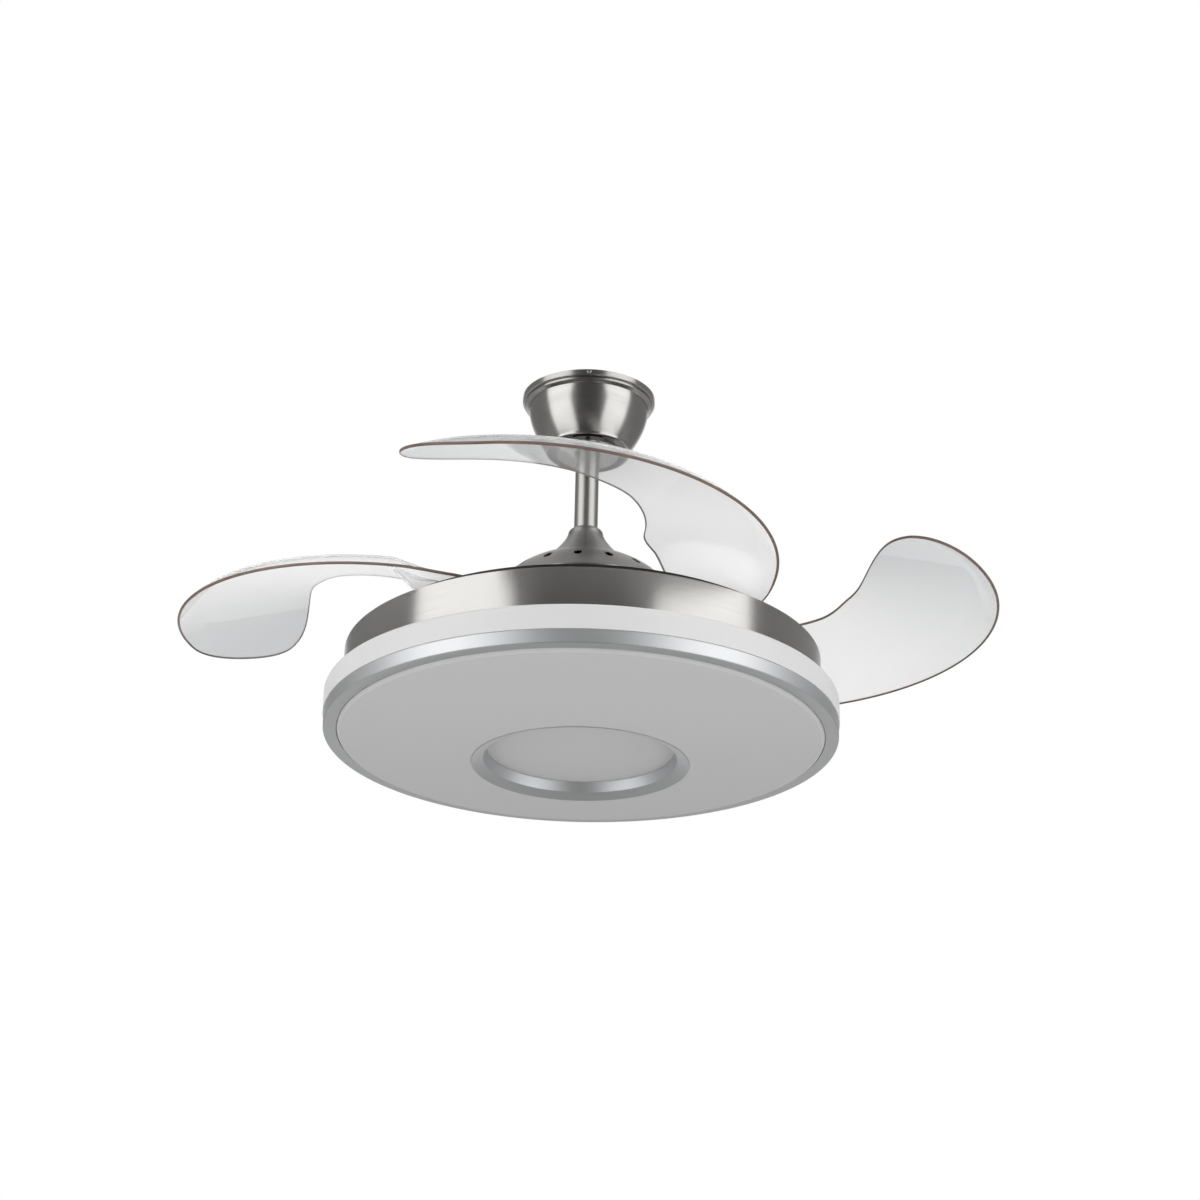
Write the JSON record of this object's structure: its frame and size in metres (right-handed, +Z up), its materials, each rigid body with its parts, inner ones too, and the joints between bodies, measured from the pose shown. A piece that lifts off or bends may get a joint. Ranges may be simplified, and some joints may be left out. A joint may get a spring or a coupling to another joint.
{
  "type": "retractable blade ceiling fan",
  "caption": "Ceiling fan hung on a short rod, with clear curved blades that fold in over a round, stepped light housing.",
  "frame": {"origin": "centre of the hanging bracket's top face, which lies on the ceiling plane on the fan's axis", "axes": "+Z up towards the ceiling along the fan's axis, +X along the line of the two ceiling slots, -Y towards the viewer of the picture"},
  "size_m": [0.8648, 0.8648, 0.4241],
  "materials": {
    "brushed_nickel": "brushed round the axis",
    "motor_shell": "brushed",
    "satin_aluminium": "satin",
    "zinc_plated_steel": "zinc plated",
    "cast_yoke": "cast",
    "shaft_steel": "ground",
    "bearing_steel": "polished",
    "hanger_nylon": "moulded",
    "terminal_plastic": "moulded",
    "core_steel": "laminated",
    "copper": "enamelled copper wire",
    "magnet_ferrite": "sintered",
    "black_tray": "black semi-gloss",
    "spring_steel": "oiled",
    "bumper_rubber": "matt",
    "gear_acetal": "moulded",
    "carrier_black": "moulded",
    "clear_acrylic": "clear, polished",
    "white_enamel": "white semi-gloss",
    "opal_acrylic": "opal white",
    "frosted_diffuser": "frosted white",
    "led_board": "white solder mask",
    "driver_case": "moulded"
  },
  "bodies": {
    "ceiling_mount": {"ceiling_bracket": "zinc_plated_steel", "canopy": "brushed_nickel", "canopy_screws": "zinc_plated_steel", "terminal_block": "terminal_plastic"},
    "hung_frame": {"hanger_ball": "hanger_nylon", "ball_pin": "zinc_plated_steel", "downrod": "brushed_nickel", "rod_cross_pin": "zinc_plated_steel", "cross_pin_clip": "zinc_plated_steel", "rod_cover_disc": "brushed_nickel", "motor_yoke": "cast_yoke", "yoke_set_screw": "zinc_plated_steel", "coupling_cover": "brushed_nickel", "motor_top_cover": "brushed_nickel", "cover_screws": "zinc_plated_steel", "motor_shaft": "shaft_steel", "stator_core": "core_steel", "stator_windings": "copper", "shaft_nut": "zinc_plated_steel", "lamp_chassis": "white_enamel", "top_band": "brushed_nickel", "side_light_ring": "opal_acrylic", "rim_ring": "satin_aluminium", "led_plate": "white_enamel", "led_board": "led_board", "centre_led_board": "led_board", "led_driver": "driver_case", "main_diffuser": "frosted_diffuser", "centre_cup": "white_enamel", "centre_diffuser": "frosted_diffuser", "trim_ring": "satin_aluminium"},
    "rotor": {"upper_bearing": "bearing_steel", "lower_bearing": "bearing_steel", "motor_shell_upper": "motor_shell", "motor_shell_lower": "motor_shell", "rotor_magnets": "magnet_ferrite", "shell_screws": "zinc_plated_steel", "blade_tray": "black_tray", "tray_cover": "black_tray", "tray_screws": "zinc_plated_steel", "pivot_pins": "zinc_plated_steel", "return_springs": "spring_steel", "stop_bumpers": "bumper_rubber"},
    "sync_ring": {"linking_ring": "gear_acetal"},
    "blade_arm_1": {"blade_gear_1": "gear_acetal", "blade_carrier_1": "carrier_black", "blade_1": "clear_acrylic", "blade_screws_1": "zinc_plated_steel"},
    "blade_arm_2": {"blade_gear_2": "gear_acetal", "blade_carrier_2": "carrier_black", "blade_2": "clear_acrylic", "blade_screws_2": "zinc_plated_steel"},
    "blade_arm_3": {"blade_gear_3": "gear_acetal", "blade_carrier_3": "carrier_black", "blade_3": "clear_acrylic", "blade_screws_3": "zinc_plated_steel"},
    "blade_arm_4": {"blade_gear_4": "gear_acetal", "blade_carrier_4": "carrier_black", "blade_4": "clear_acrylic", "blade_screws_4": "zinc_plated_steel"}
  },
  "joints": [
    {"name": "ball_tilt", "type": "hinge", "parent": "ceiling_mount", "child": "hung_frame", "pos_m": [0, 0, -0.032], "axis": [1, 0, 0], "range_deg": [-10, 10]},
    {"name": "rotor_spin", "type": "hinge", "parent": "hung_frame", "child": "rotor", "pos_m": [0, 0, -0.25], "axis": [0, 0, 1], "continuous": true},
    {"name": "ring_turn", "type": "hinge", "parent": "rotor", "child": "sync_ring", "pos_m": [0, 0, -0.308], "axis": [0, 0, 1], "range_deg": [-8.64, 11.82]},
    {"name": "blade_fold_1", "type": "hinge", "parent": "rotor", "child": "blade_arm_1", "pos_m": [0.13782, -0.13079, -0.295], "axis": [0, 0, -1], "range_deg": [-45, 62]},
    {"name": "blade_fold_2", "type": "hinge", "parent": "rotor", "child": "blade_arm_2", "pos_m": [-0.13079, -0.13782, -0.295], "axis": [0, 0, -1], "range_deg": [-45, 62]},
    {"name": "blade_fold_3", "type": "hinge", "parent": "rotor", "child": "blade_arm_3", "pos_m": [-0.13782, 0.13079, -0.295], "axis": [0, 0, -1], "range_deg": [-45, 62]},
    {"name": "blade_fold_4", "type": "hinge", "parent": "rotor", "child": "blade_arm_4", "pos_m": [0.13079, 0.13782, -0.295], "axis": [0, 0, -1], "range_deg": [-45, 62]}
  ],
  "couplings": [
    {"joint": "ring_turn", "follows": "blade_fold_1", "ratio": 0.1875},
    {"joint": "blade_fold_2", "follows": "blade_fold_1", "ratio": 1},
    {"joint": "blade_fold_3", "follows": "blade_fold_1", "ratio": 1},
    {"joint": "blade_fold_4", "follows": "blade_fold_1", "ratio": 1}
  ]
}
